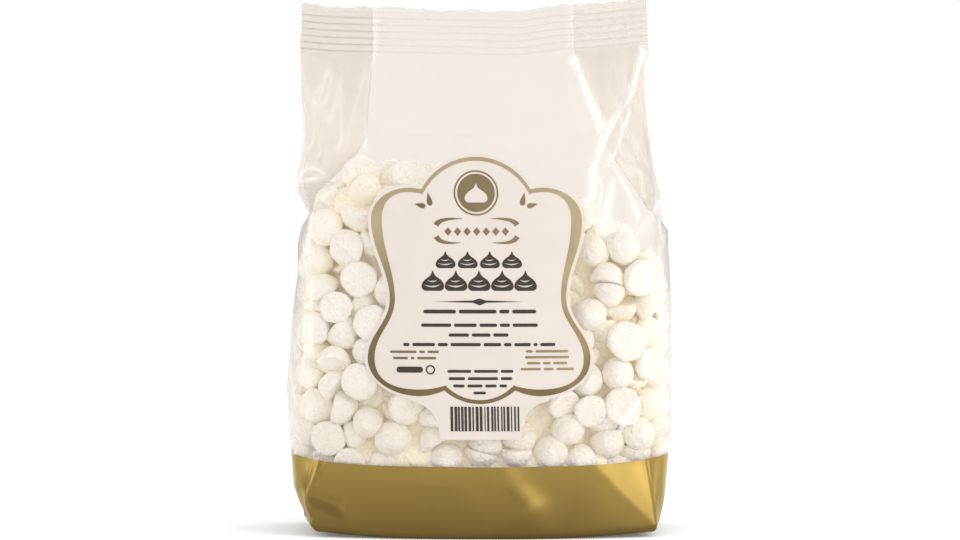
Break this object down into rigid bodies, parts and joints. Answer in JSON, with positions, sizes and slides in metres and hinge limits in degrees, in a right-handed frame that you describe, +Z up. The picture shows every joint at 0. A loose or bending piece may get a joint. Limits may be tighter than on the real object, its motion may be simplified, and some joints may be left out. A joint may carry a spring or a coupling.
{
  "type": "bag of meringue drops",
  "caption": "Sealed see-through side-gusset bag full of small round meringues, standing on a gold-printed block bottom, with a crimped top and a framed front label.",
  "frame": {"origin": "centre of the object's footprint, on the surface it stands on", "axes": "+Z up, the labelled front faces -Y, +X to the right as the label is read"},
  "size_m": [0.1568, 0.0838, 0.2145],
  "materials": {
    "film": "clear glossy film, seen with the off-white meringues behind it",
    "meringue": "matte, chalky baked egg white and sugar",
    "gold_ink": "satin metallic gold ink",
    "white_ink": "opaque white ink under glossy film",
    "dark_ink": "dark brown ink under glossy film"
  },
  "bodies": {
    "root": {"bag": "film", "gold_band": "gold_ink", "label_panel": "white_ink", "label_frame": "gold_ink"}
  },
  "joints": []
}
